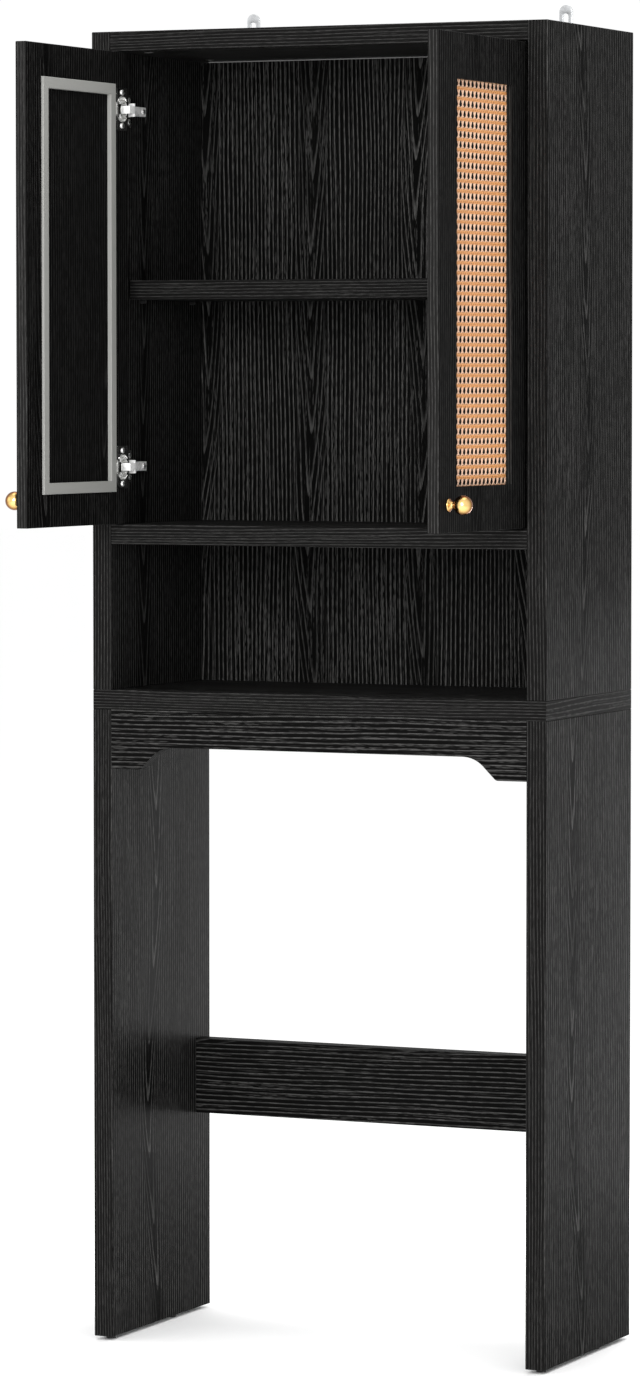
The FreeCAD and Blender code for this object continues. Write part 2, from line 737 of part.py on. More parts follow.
# ---------------------------------------------------------------------------------------------
# Anti-tip brackets along the rear edge of the top
# ---------------------------------------------------------------------------------------------
def make_bracket(side):
    """An angle whose foot lies on the top board and whose round-ended wall leg has a slot."""
    body = subpart(side.name + "_wall_bracket")
    centre = side.x("bracket_offset")
    across = about(centre, "bracket_width")
    leg_y = (f"{REAR} - bracket_thick", REAR)
    round_top = f"{RACK_TOP} + bracket_height - bracket_width / 2"
    block(body, "wall_leg", across, leg_y, (RACK_TOP, round_top))
    rod(body, "round_end", "bracket_width / 2", "bracket_thick", (centre, leg_y[0], round_top), "Y")
    block(body, "foot", across, (f"{REAR} - bracket_foot", REAR),
          (RACK_TOP, f"{RACK_TOP} + bracket_thick"))
    slot_low = f"{RACK_TOP} + bracket_slot_low + bracket_slot_width / 2"
    slot_high = f"{RACK_TOP} + bracket_slot_high - bracket_slot_width / 2"
    cut_block(body, "slot", about(centre, "bracket_slot_width"), leg_y, (slot_low, slot_high))
    for name, height in (("slot_foot", slot_low), ("slot_crown", slot_high)):
        drill(body, name, "bracket_slot_width / 2", "bracket_thick", (centre, leg_y[0], height), "Y")
    seat = (centre, f"{REAR} - bracket_foot / 2 - bracket_thick", f"{RACK_TOP} + bracket_thick")
    for held in (body, top_board):
        drill(held, side.name + "_bracket_screw_hole", "bracket_screw_radius",
              "bracket_screw_length", seat, "-Z")
    return screw("bracket_screw_" + side.name, "bracket_screw_radius", "bracket_screw_length",
                 "bracket_head_radius", "bracket_head_thick", seat, "-Z")


group("bracket_screws", [make_bracket(side) for side in SIDES])


# ---------------------------------------------------------------------------------------------
# Check and write
# ---------------------------------------------------------------------------------------------
doc.recompute()
for item in doc.Objects:
    if "Invalid" in item.State or "Error" in item.State:
        raise RuntimeError(f"{item.Name} did not recompute: {item.State}")
os.makedirs("parts", exist_ok=True)
for item in subparts:
    if item.Shape.isNull() or not item.Shape.isValid() or not item.Shape.Solids:
        raise RuntimeError(f"{item.Label} has no valid solid")
for item in subparts:
    item.Shape.exportStep(f"parts/{item.Label}.step")
    print(item.Label, len(item.Shape.Solids), round(item.Shape.Volume))
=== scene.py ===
"""Looks of the over the toilet storage rack: black embossed wood grain, woven cane, bright fittings."""
import math

import bmesh
import bpy
from mathutils import Matrix, Vector


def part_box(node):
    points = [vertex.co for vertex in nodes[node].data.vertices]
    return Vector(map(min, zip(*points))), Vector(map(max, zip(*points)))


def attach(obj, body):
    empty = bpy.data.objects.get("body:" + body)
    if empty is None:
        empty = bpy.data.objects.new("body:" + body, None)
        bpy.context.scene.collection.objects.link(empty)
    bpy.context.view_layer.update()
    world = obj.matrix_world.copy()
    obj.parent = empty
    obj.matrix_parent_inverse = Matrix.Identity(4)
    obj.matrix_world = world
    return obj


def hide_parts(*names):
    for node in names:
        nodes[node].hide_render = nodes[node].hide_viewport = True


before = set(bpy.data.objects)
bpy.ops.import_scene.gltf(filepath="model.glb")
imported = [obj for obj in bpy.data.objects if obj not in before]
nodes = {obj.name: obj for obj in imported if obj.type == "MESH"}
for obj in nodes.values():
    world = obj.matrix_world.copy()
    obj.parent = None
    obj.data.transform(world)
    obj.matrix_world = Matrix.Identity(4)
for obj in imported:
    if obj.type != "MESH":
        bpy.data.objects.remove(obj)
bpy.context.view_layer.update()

SIDES = {"left": -1, "right": 1}


# ---------------------------------------------------------------------------------------------
# Node helpers
# ---------------------------------------------------------------------------------------------
def feed(tree, socket, value):
    """Link a socket, or set a plain value."""
    if isinstance(value, bpy.types.NodeSocket):
        tree.links.new(value, socket)
    else:
        socket.default_value = value


def sum_of(tree, operation, *values):
    node = tree.nodes.new("ShaderNodeMath")
    node.operation = operation
    for socket, value in zip(node.inputs, values):
        feed(tree, socket, value)
    return node.outputs[0]


def split(tree, vector):
    node = tree.nodes.new("ShaderNodeSeparateXYZ")
    feed(tree, node.inputs[0], vector)
    return node.outputs


def joined(tree, *values):
    node = tree.nodes.new("ShaderNodeCombineXYZ")
    for socket, value in zip(node.inputs, values):
        feed(tree, socket, value)
    return node.outputs[0]


def blend_of(tree, mask, first, second):
    """First where the mask is 0, second where it is 1."""
    node = tree.nodes.new("ShaderNodeMix")
    feed(tree, node.inputs["Factor"], mask)
    feed(tree, node.inputs["A"], first)
    feed(tree, node.inputs["B"], second)
    return node.outputs["Result"]


def moved(tree, vector, location=(0, 0, 0), rotation=(0, 0, 0), scale=(1, 1, 1)):
    node = tree.nodes.new("ShaderNodeMapping")
    feed(tree, node.inputs["Vector"], vector)
    for name, value in (("Location", location), ("Rotation", rotation), ("Scale", scale)):
        feed(tree, node.inputs[name], value)
    return node.outputs[0]


def cloud(tree, vector, scale, detail=2.0, roughness=0.5):
    node = tree.nodes.new("ShaderNodeTexNoise")
    feed(tree, node.inputs["Vector"], vector)
    for name, value in (("Scale", scale), ("Detail", detail), ("Roughness", roughness)):
        feed(tree, node.inputs[name], value)
    return node.outputs["Fac"]


def spread(tree, value, low, high, to_low=0.0, to_high=1.0):
    """Stretch a range of values to another, smoothly and clamped."""
    node = tree.nodes.new("ShaderNodeMapRange")
    node.interpolation_type = "SMOOTHSTEP"
    for socket, number in zip(node.inputs, (value, low, high, to_low, to_high)):
        feed(tree, socket, number)
    return node.outputs[0]


def tinted(tree, mask, dark, light):
    node = tree.nodes.new("ShaderNodeMix")
    node.data_type = "RGBA"
    feed(tree, node.inputs["Factor"], mask)
    feed(tree, node.inputs["A"], dark)
    feed(tree, node.inputs["B"], light)
    return node.outputs["Result"]


def new_group(name, inputs, outputs):
    tree = bpy.data.node_groups.new(name, "ShaderNodeTree")
    for title, kind, value in inputs:
        socket = tree.interface.new_socket(title, in_out="INPUT", socket_type="NodeSocket" + kind)
        if value is not None:
            socket.default_value = value
    for title in outputs:
        tree.interface.new_socket(title, in_out="OUTPUT", socket_type="NodeSocketFloat")
    given = tree.nodes.new("NodeGroupInput").outputs
    result = tree.nodes.new("NodeGroupOutput").inputs
    return tree, given, result


def use_group(tree, group, **values):
    node = tree.nodes.new("ShaderNodeGroup")
    node.node_tree = group
    for title, value in values.items():
        feed(tree, node.inputs[title.replace("_", " ")], value)
    return node.outputs


def new_material(name, roughness=0.5, metallic=0.0, **shader_values):
    """A material's tree, its shader's inputs and its object coordinates."""
    material = bpy.data.materials.new(name)
    material.use_nodes = True
    tree = material.node_tree
    shader = tree.nodes["Principled BSDF"].inputs
    shader["Roughness"].default_value = roughness
    shader["Metallic"].default_value = metallic
    for title, value in shader_values.items():
        shader[title.replace("_", " ")].default_value = value
    places = tree.nodes.new("ShaderNodeTexCoord").outputs
    return material, tree, shader, places


def relief(tree, shader, height, distance, strength=1.0):
    node = tree.nodes.new("ShaderNodeBump")
    node.inputs["Strength"].default_value = strength
    node.inputs["Distance"].default_value = distance
    feed(tree, node.inputs["Height"], height)
    tree.links.new(node.outputs["Normal"], shader["Normal"])


# ---------------------------------------------------------------------------------------------
# Shared effects
# ---------------------------------------------------------------------------------------------
def ring_lines(tree, rings):
    """A narrow line at the end of each ring."""
    ring = sum_of(tree, "FRACT", rings)
    return sum_of(tree, "MULTIPLY", spread(tree, ring, 0.62, 0.90), spread(tree, ring, 1.0, 0.95))


def make_grain_group():
    """Embossed wood grain that runs along Z, with X across the board and Y through it.

    Rings cut at a slant make columns of nested points, with straight lines between the columns.
    Each line is broken into short pores. On a board's ends the grain runs along the edge.
    """
    tree, given, result = new_group(
        "embossed_grain",
        (("Place", "Vector", None), ("Facing", "Vector", None), ("Ring", "Float", 0.0062),
         ("Arch", "Float", 0.085), ("Leaf", "Float", 0.30)),
        ("Streaks", "Tone", "Height", "Banding"))
    x, y, z = split(tree, given["Place"])
    facing_y, facing_z = split(tree, given["Facing"])[1:]
    on_end = sum_of(tree, "GREATER_THAN", sum_of(tree, "ABSOLUTE", facing_z), 0.7)
    banding = sum_of(tree, "LESS_THAN", sum_of(tree, "ABSOLUTE", facing_y), 0.7)
    across = blend_of(tree, on_end, sum_of(tree, "MULTIPLY_ADD", y, 1.5, x), y)
    along = blend_of(tree, on_end, z, x)
    through = blend_of(tree, on_end, y, z)
    at = joined(tree, across, through, along)

    sway = cloud(tree, moved(tree, at, scale=(7.0, 7.0, 1.6)), 1.0, 2.0)
    bend = cloud(tree, moved(tree, at, location=(5, 2, 9), scale=(28.0, 28.0, 7.0)), 1.0, 2.0)
    drift = cloud(tree, moved(tree, at, location=(8, 1, 4), scale=(1.5, 1.5, 1.4)), 1.0, 1.0)
    leaned = sum_of(tree, "MULTIPLY_ADD", drift, 0.16, across)
    angle = sum_of(tree, "DIVIDE", sum_of(tree, "MULTIPLY", leaned, 2 * math.pi), given["Leaf"])
    crest = sum_of(tree, "COSINE", angle)
    arch = sum_of(tree, "MULTIPLY", sum_of(tree, "ARCSINE", sum_of(tree, "MULTIPLY", crest, 0.985)),
                  sum_of(tree, "DIVIDE", given["Leaf"], -2 * math.pi))
    wander = sum_of(tree, "MULTIPLY_ADD", sway, 0.022, sum_of(tree, "MULTIPLY", bend, 0.0035))
    ripple = sum_of(tree, "DIVIDE", sum_of(tree, "ADD", arch, wander), given["Ring"])
    pointed = ring_lines(tree, sum_of(tree, "SUBTRACT", ripple, sum_of(tree, "DIVIDE", along, given["Arch"])))
    ripple = sum_of(tree, "DIVIDE", sum_of(tree, "ADD", across, wander), given["Ring"])
    straight = ring_lines(tree, sum_of(tree, "MULTIPLY_ADD", along, 1.3, ripple))
    beside = spread(tree, sum_of(tree, "MULTIPLY_ADD", given["Leaf"], 0.25, arch), 0.017, 0.025)
    strength = spread(tree, sum_of(tree, "FRACT", sum_of(tree, "MULTIPLY", drift, 7.0)), 0.1, 0.9, 0.45, 1.0)
    band = blend_of(tree, beside, sum_of(tree, "MULTIPLY", pointed, strength), straight)

    pores = cloud(tree, moved(tree, at, scale=(700.0, 700.0, 90.0)), 1.0, 1.0, 0.5)
    threads = cloud(tree, moved(tree, at, location=(3, 7, 1), scale=(480.0, 480.0, 9.0)), 1.0, 2.0, 0.6)
    specks = spread(tree, pores, 0.40, 0.60)
    lines = spread(tree, threads, 0.52, 0.62)
    patch = spread(tree, sway, 0.35, 0.62, 0.25, 1.0)
    strong = sum_of(tree, "MULTIPLY", band, sum_of(tree, "MULTIPLY_ADD", specks, 0.50, 0.40))
    faint = sum_of(tree, "MULTIPLY", sum_of(tree, "MULTIPLY", lines, specks),
                   sum_of(tree, "MULTIPLY", patch, 0.45))
    streaks = sum_of(tree, "MAXIMUM", strong, faint)
    feed(tree, result["Streaks"], streaks)
    feed(tree, result["Tone"], sway)
    feed(tree, result["Banding"], banding)
    feed(tree, result["Height"], sum_of(tree, "SUBTRACT", 1.0, streaks))
    return tree


GRAIN = make_grain_group()


# ---------------------------------------------------------------------------------------------
# Materials
# ---------------------------------------------------------------------------------------------
# turns that bring a board's length onto Z, its width onto X and its thickness onto Y
QUARTER = math.radians(90)
UPRIGHT_SIDE = (0, 0, QUARTER)
UPRIGHT_FRONT = (0, 0, 0)
LEVEL_FRONT = (0, QUARTER, 0)
LEVEL_FLAT = (0, QUARTER, QUARTER)


def grey(level):
    return (level, 0.985 * level, 0.96 * level, 1)


def black_board(name, turn, shift, leaf=0.30, ground=0.0040, streak=0.080, edge=0.0075):
    """Black wood grain on a board. The banding on its edges is flatter, and paler by a painted sheen."""
    material, tree, shader, places = new_material(name, Specular_IOR_Level=0.004)
    at = moved(tree, moved(tree, places["Object"], rotation=turn), location=shift)
    facing = moved(tree, places["Normal"], rotation=turn)
    grain = use_group(tree, GRAIN, Place=at, Facing=facing, Leaf=leaf)
    # painted sheen: the edge value lifts the banding's ground and its streaks above those of the broad faces
    dark = tinted(tree, grain["Banding"], grey(ground), grey(edge))
    light = tinted(tree, grain["Banding"], grey(streak), grey(0.032 + 2.5 * edge))
    tree.links.new(tinted(tree, grain["Streaks"], dark, light), shader["Base Color"])
    tree.links.new(spread(tree, grain["Tone"], 0.3, 0.7, 0.30, 0.42), shader["Roughness"])
    relief(tree, shader, grain["Height"], 0.0003, 0.5)
    return material


# finishes, the same on the left and the right; each edge value paints a sheen onto the edge banding, paler
# still on the doors
CASE = dict(ground=0.0040, streak=0.080, edge=0.0075)
BACK = dict(ground=0.0040, streak=0.115, leaf=0.16)
DOOR = dict(ground=0.0029, streak=0.038, edge=0.0130)
BACKING = dict(ground=0.0040, streak=0.030)
LEVEL = dict(CASE, leaf=0.5)

# each board's turn, how far the middle of its arches lies from the middle of the board, and its finish
BOARDS = {
    "left_leg_panel": dict(CASE, turn=UPRIGHT_SIDE, shift=(0.16, 0.02, 0.2)),
    "right_leg_panel": dict(CASE, turn=UPRIGHT_SIDE, shift=(0.09, 0.03, 0.9)),
    "left_side_panel": dict(CASE, turn=UPRIGHT_SIDE, shift=(0.10, 0.03, 0.5)),
    "right_side_panel": dict(CASE, turn=UPRIGHT_SIDE, shift=(0.06, 0.05, -0.6)),
    "back_panel": dict(BACK, turn=UPRIGHT_FRONT, shift=(-0.05, -0.3, -0.2)),
    "left_door": dict(DOOR, turn=UPRIGHT_SIDE, shift=(0.05, 0.04, 1.3)),
    "right_door": dict(DOOR, turn=UPRIGHT_SIDE, shift=(-0.01, -0.04, 0.7)),
    "left_backing_panel": dict(BACKING, turn=UPRIGHT_SIDE, shift=(-0.14, 0.10, 2.2)),
    "right_backing_panel": dict(BACKING, turn=UPRIGHT_SIDE, shift=(-0.12, 0.10, 3.1)),
    "middle_board": dict(LEVEL, turn=LEVEL_FLAT, shift=(0.10, 0.4, 0.3)),
    "front_apron": dict(LEVEL, turn=LEVEL_FRONT, shift=(-0.92, 0.45, 0.8)),
    "rear_rail": dict(LEVEL, turn=LEVEL_FRONT, shift=(-0.47, 0.1, 1.5)),
    "top_board": dict(LEVEL, turn=LEVEL_FLAT, shift=(0.13, 0.2, 2.1)),
    "fixed_shelf": dict(LEVEL, turn=LEVEL_FLAT, shift=(0.12, 0.3, 2.9)),
    "inner_shelf": dict(LEVEL, turn=LEVEL_FLAT, shift=(0.27, 0.5, 3.4)),
}


def speckled(name, colour, rough_low, rough_high, scale, **shader_values):
    """A plain finish with a faint change of gloss over it."""
    material, tree, shader, places = new_material(name, **shader_values)
    mottle = cloud(tree, places["Object"], scale, 3.0, 0.6)
    darker = tuple(0.86 * part for part in colour) + (1,)
    tree.links.new(tinted(tree, mottle, darker, colour + (1,)), shader["Base Color"])
    tree.links.new(spread(tree, mottle, 0.3, 0.7, rough_low, rough_high), shader["Roughness"])
    return material


NICKEL = speckled("hinge_nickel", (0.80, 0.80, 0.79), 0.10, 0.20, 160.0, metallic=1.0)
# the hinge arms' nickel: near white and barely metallic, a painted reflection of white surroundings
NICKEL_PAINTED_SHEEN = speckled("nickel_painted_sheen", (0.96, 0.96, 0.95), 0.24, 0.36, 160.0, metallic=0.15)
FASTENER = speckled("plated_fastener", (0.82, 0.82, 0.81), 0.22, 0.34, 300.0, metallic=0.8)
ZINC_SHEET = speckled("zinc_sheet", (0.56, 0.57, 0.58), 0.25, 0.42, 120.0, metallic=1.0)
ZINC_CAST = speckled("zinc_cast", (0.55, 0.55, 0.55), 0.40, 0.60, 500.0, metallic=1.0)
GREY = speckled("retainer_grey", (0.37, 0.37, 0.352), 0.38, 0.50, 400.0)
GLIDE = speckled("glide_black", (0.02, 0.02, 0.02), 0.35, 0.50, 500.0)
BEECH = speckled("dowel_beech", (0.60, 0.40, 0.22), 0.55, 0.70, 300.0)


def polished_brass():
    """Lacquered brass with painted shade: its colour darkens towards the rim of a round form, where the
    surface turns from the camera.
    """
    material, tree, shader, places = new_material("polished_brass", metallic=1.0)
    weight = tree.nodes.new("ShaderNodeLayerWeight")
    weight.inputs["Blend"].default_value = 0.42
    mottle = cloud(tree, places["Object"], 90.0, 3.0, 0.6)
    # painted shade and highlight: dark towards the rim as seen from the camera, bright brass where the
    # surface faces it
    rim = spread(tree, weight.outputs["Facing"], 0.02, 0.50)
    tree.links.new(tinted(tree, rim, (1.0, 0.68, 0.26, 1), (0.20, 0.070, 0.014, 1)), shader["Base Color"])
    tree.links.new(spread(tree, mottle, 0.3, 0.7, 0.16, 0.28), shader["Roughness"])
    return material


def split_cane():
    """Peeled cane, paler in its upright strands than in the pairs that run across."""
    material, tree, shader, places = new_material("woven_cane")
    low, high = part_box("left_cane_webbing")
    row = sum_of(tree, "FRACT", sum_of(tree, "DIVIDE", sum_of(
        tree, "SUBTRACT", split(tree, places["Object"])[2], (low.z + high.z) / 2), CANE_PITCH))
    on_row = spread(tree, sum_of(tree, "ABSOLUTE", sum_of(tree, "SUBTRACT", row, 0.5)), 0.30, 0.36)
    fibres = cloud(tree, moved(tree, places["Object"], scale=(900.0, 900.0, 300.0)), 1.0, 2.0, 0.6)
    upright = tinted(tree, fibres, (0.66, 0.36, 0.22, 1), (1.0, 0.74, 0.55, 1))
    level = tinted(tree, fibres, (0.45, 0.18, 0.05, 1), (0.92, 0.45, 0.16, 1))
    tree.links.new(tinted(tree, on_row, upright, level), shader["Base Color"])
    tree.links.new(spread(tree, fibres, 0.3, 0.7, 0.35, 0.55), shader["Roughness"])
    return material


CANE_PITCH = 0.0125
BRASS = polished_brass()
CANE = split_cane()


def dress(node, material):
    mesh = nodes[node].data
    mesh.materials.clear()
    mesh.materials.append(material)


for node, look in BOARDS.items():
    dress(node, black_board("black_" + node, **look))
for node in nodes:
    if node in BOARDS:
        continue
    if "webbing" in node:
        dress(node, CANE)
    elif "retainer" in node:
        dress(node, GREY)
    elif node.endswith("_knob"):
        dress(node, BRASS)
    # painted shade: the shelf pins take the black glide finish, though such pins are usually metal, so they
    # stay dark under the inner shelf
    elif "shelf_pins" in node:
        dress(node, GLIDE)
    elif "dowels" in node:
        dress(node, BEECH)
    elif "glides" in node:
        dress(node, GLIDE)
    elif "cam_discs" in node:
        dress(node, ZINC_CAST)
    elif node.endswith("wall_bracket"):
        dress(node, ZINC_SHEET)
    elif "hinge_cup" in node or "hinge_arm" in node or "mounting_plate" in node:
        dress(node, NICKEL)
    else:
        dress(node, FASTENER)


# ---------------------------------------------------------------------------------------------
# Mesh helpers
# ---------------------------------------------------------------------------------------------
def verts_of(result):
    return [item for item in result["geom"] if isinstance(item, bmesh.types.BMVert)]


def edges_of(result):
    return [item for item in result["geom"] if isinstance(item, bmesh.types.BMEdge)]


def add_piece(name, bm, material, body, stands_for=(), smooth=True):
    """Make a finished piece of a mesh that is already in place, and let it ride on its body."""
    mesh = bpy.data.meshes.new(name)
    bm.to_mesh(mesh)
    bm.free()
    for face in mesh.polygons:
        face.use_smooth = smooth
    mesh.materials.append(material)
    piece = bpy.data.objects.new(name, mesh)
    bpy.context.scene.collection.objects.link(piece)
    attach(piece, body)
    if stands_for:
        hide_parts(*stands_for)
    return piece


# ---------------------------------------------------------------------------------------------
# Woven cane: pairs of strands across and up, and a slanting strand each way between the holes
# ---------------------------------------------------------------------------------------------
STRAND_WIDE = 0.0017
SLANT_WIDE = 0.0009
STRAND_THICK = 0.00055
PAIR_STEP = 0.00098
OVER = 0.00060


def add_strand(bm, stops, wide=STRAND_WIDE):
    """One length of split cane through a row of stops, flat underneath and narrower on top.

    Each stop is its place along the weave, its place across it and its height.
    """
    first, last = Vector(stops[0]), Vector(stops[-1])
    run = (last - first).xy.normalized()
    side = Vector((-run.y, run.x, 0))
    section = [(-0.5, -0.5), (0.5, -0.5), (0.34, 0.5), (-0.34, 0.5)]
    corners = [bm.verts.new(first + side * across * wide + Vector((0, 0, up * STRAND_THICK)))
               for across, up in section]
    ring = [bm.edges.new((corners[n - 1], corners[n])) for n in range(4)]
    for before, after in zip(stops, stops[1:]):
        made = bmesh.ops.extrude_edge_only(bm, edges=ring)
        fresh = verts_of(made)
        bmesh.ops.translate(bm, verts=fresh, vec=Vector(after) - Vector(before))
        ring = [edge for edge in edges_of(made) if all(v in fresh for v in edge.verts)]


def add_cell(bm):
    """One repeat of the weave, centred where its two pairs cross."""
    half = CANE_PITCH / 2
    near = PAIR_STEP * 1.3
    for step, height in ((PAIR_STEP, OVER), (-PAIR_STEP, -OVER)):
        add_strand(bm, [(-half, step, 0), (-near, step, height), (near, step, height), (half, step, 0)])
    for step in (PAIR_STEP, -PAIR_STEP):
        add_strand(bm, [(step, -half, 0), (step, -near, OVER), (step, near, -OVER), (step, half, 0)])
    for lean, lift in ((1, OVER), (-1, -OVER)):
        for start, end in ((-half, 0), (0, half)):
            low = lift if start < 0 else -lift
            across = (0, half) if start < 0 else (-half, 0)
            if lean > 0:
                stops = [(across[0], start, low), (across[1], end, -low)]
            else:
                stops = [(-across[0], start, low), (-across[1], end, -low)]
            add_strand(bm, stops, SLANT_WIDE)


def make_cane(side):
    """The webbing in a door's window, woven flat and then stood up in its place."""
    node = side + "_cane_webbing"
    low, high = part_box(node)
    middle = (low + high) / 2
    across = math.ceil((high.y - low.y) / CANE_PITCH / 2)
    up = math.ceil((high.z - low.z) / CANE_PITCH / 2)
    bm = bmesh.new()
    add_cell(bm)
    for count, step in ((2 * across, Vector((CANE_PITCH, 0, 0))), (2 * up, Vector((0, CANE_PITCH, 0)))):
        unit = bm.verts[:] + bm.edges[:] + bm.faces[:]
        for number in range(1, count + 1):
            copy = bmesh.ops.duplicate(bm, geom=unit)
            bmesh.ops.translate(bm, verts=verts_of(copy), vec=step * number)
        bmesh.ops.translate(bm, verts=bm.verts, vec=-step * count / 2)
    bmesh.ops.remove_doubles(bm, verts=bm.verts, dist=1e-5)
    wide, tall = (high.y - low.y) / 2, (high.z - low.z) / 2
    for cut_at, normal in (((wide, 0, 0), (1, 0, 0)), ((-wide, 0, 0), (-1, 0, 0)),
                           ((0, tall, 0), (0, 1, 0)), ((0, -tall, 0), (0, -1, 0))):
        bmesh.ops.bisect_plane(bm, geom=bm.verts[:] + bm.edges[:] + bm.faces[:], dist=1e-7, plane_co=cut_at,
                               plane_no=normal, clear_outer=True)
    bmesh.ops.holes_fill(bm, edges=[edge for edge in bm.edges if edge.is_boundary], sides=12)
    bmesh.ops.recalc_face_normals(bm, faces=bm.faces)
    sign = SIDES[side]
    stand = Matrix(((0, 0, sign, middle.x), (sign, 0, 0, middle.y), (0, 1, 0, middle.z), (0, 0, 0, 1)))
    bmesh.ops.transform(bm, matrix=stand, verts=bm.verts)
    add_piece(side + "_woven_cane", bm, CANE, side + "_door_leaf", (node,), smooth=False)


for side in SIDES:
    make_cane(side)


# ---------------------------------------------------------------------------------------------
# Knobs: a ball on a waisted neck and a round foot, turned in one piece
# ---------------------------------------------------------------------------------------------
def spun(bm, profile, steps=40):
    """Spin a line of (distance along the axis, radius) stops round the X axis."""
    verts = [bm.verts.new((along, radius, 0)) for along, radius in profile]
    edges = [bm.edges.new(pair) for pair in zip(verts, verts[1:])]
    bmesh.ops.spin(bm, geom=verts + edges, cent=(0, 0, 0), axis=(1, 0, 0), angle=2 * math.pi,
                   steps=steps, use_merge=True)
    bmesh.ops.remove_doubles(bm, verts=bm.verts, dist=1e-6)
    bmesh.ops.recalc_face_normals(bm, faces=bm.faces)


def curve_between(start, end, sag, count):
    """Stops on a bow from start to end, whose middle is pulled in towards the axis."""
    stops = []
    for number in range(count + 1):
        share = number / count
        pull = sag * math.sin(math.pi * share)
        along = start[0] + (end[0] - start[0]) * share
        radius = start[1] + (end[1] - start[1]) * share
        stops.append((along, radius - pull))
    return stops


KNOB_FOOT = 0.0084
KNOB_FOOT_THICK = 0.0024
KNOB_WAIST = 0.0040
KNOB_WAIST_AT = 0.0060
BALL_STEPS = 16
# how far round the ball, from its front, the neck joins it
NECK_JOIN = math.radians(152)


def make_knob(side):
    node = side + "_knob"
    low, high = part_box(node)
    ball = (high.z - low.z) / 2
    reach = high.x - low.x
    centre = reach - ball
    foot, thick = KNOB_FOOT, KNOB_FOOT_THICK
    profile = [(0.0, 0.0), (0.0, foot - 0.0004), (0.0004, foot), (thick - 0.0012, foot),
               (thick - 0.0004, foot - 0.0005)]
    profile += curve_between((thick, foot - 0.0012), (KNOB_WAIST_AT, KNOB_WAIST), 0.0004, 6)
    profile.append((centre + ball * math.cos(NECK_JOIN) - 0.0006, KNOB_WAIST))
    for number in range(BALL_STEPS + 1):
        turn = NECK_JOIN * (1 - number / BALL_STEPS)
        profile.append((centre + ball * math.cos(turn), ball * math.sin(turn)))
    bm = bmesh.new()
    spun(bm, profile)
    sign = SIDES[side]
    start = low.x if sign > 0 else high.x
    place = Matrix.Translation((start, (low.y + high.y) / 2, (low.z + high.z) / 2))
    if sign < 0:
        place = place @ Matrix.Rotation(math.pi, 4, "Z")
    bmesh.ops.transform(bm, matrix=place, verts=bm.verts)
    add_piece(side + "_turned_knob", bm, BRASS, side + "_door_leaf", (node,))


for side in SIDES:
    make_knob(side)


# ---------------------------------------------------------------------------------------------
# Pressed steel: hinge cups, arms and plates, and wall brackets, with their folded edges rounded
# ---------------------------------------------------------------------------------------------
def make_pressed(name, node, material, body, fold, segments=3):
    """A node again with its sharp edges rounded by the radius of their folds."""
    bm = bmesh.new()
    bm.from_mesh(nodes[node].data)
    bmesh.ops.remove_doubles(bm, verts=bm.verts, dist=2e-6)
    bmesh.ops.dissolve_limit(bm, angle_limit=math.radians(1), verts=bm.verts, edges=bm.edges)
    sharp = [edge for edge in bm.edges
             if len(edge.link_faces) == 2 and edge.calc_face_angle() > math.radians(40)]
    bmesh.ops.bevel(bm, geom=sharp, offset=fold, offset_type="OFFSET", segments=segments, profile=0.5,
                    affect="EDGES", clamp_overlap=True, material=-1)
    bmesh.ops.triangulate(bm, faces=bm.faces)
    bmesh.ops.recalc_face_normals(bm, faces=bm.faces)
    piece = add_piece(name, bm, material, body, (node,))
    piece.data.set_sharp_from_angle(angle=math.radians(35))


for side in SIDES:
    for level in ("upper", "lower"):
        hinge = f"{side}_{level}"
        make_pressed(hinge + "_pressed_cup", hinge + "_hinge_cup", NICKEL, side + "_door_leaf",
                     fold=0.0003, segments=2)
        make_pressed(hinge + "_pressed_arm", hinge + "_hinge_arm", NICKEL_PAINTED_SHEEN, "cabinet",
                     fold=0.0011)
        make_pressed(hinge + "_pressed_plate", hinge + "_mounting_plate", NICKEL, "cabinet",
                     fold=0.0007)
    make_pressed(side + "_folded_bracket", side + "_wall_bracket", ZINC_SHEET, "cabinet",
                 fold=0.0005)


# ---------------------------------------------------------------------------------------------
# Cross-slot screws and cams
# ---------------------------------------------------------------------------------------------
# half the angle of an arm of the cross, which is one step of the head's rim
CROSS_TURN = math.radians(15)
RIM_STEPS = 24
# a domed head's rims: their share of its radius, and how far down the dome each one lies
DOME = ((1.0, 1.0), (0.96, 0.55), (0.80, 0.12), (0.66, 0.0))
HINGE_SCREW = dict(radius=0.0036, rise=0.0016, shank_radius=0.0018)
BRACKET_SCREW = dict(radius=0.0038, rise=0.0020, shank_radius=0.0020)
CAM_RADIUS = 0.0074
CAM_DEEP = 0.0126


def cross_shape(vert, arm):
    """Move a vertex of a round rim in to the outline of a cross."""
    turn = math.atan2(vert.co.y, vert.co.x) % math.radians(90)
    turn = min(turn, math.radians(90) - turn)
    if turn <= CROSS_TURN + 1e-4:
        reach = arm / math.cos(turn)
    else:
        reach = arm * math.tan(CROSS_TURN) / math.sin(turn)
    vert.co = vert.co.normalized() * reach


def add_rim(bm, radius, level):
    rim = bmesh.ops.create_circle(bm, cap_ends=False, segments=RIM_STEPS, radius=radius)["verts"]
    bmesh.ops.translate(bm, verts=rim, vec=(0, 0, level))
    return rim


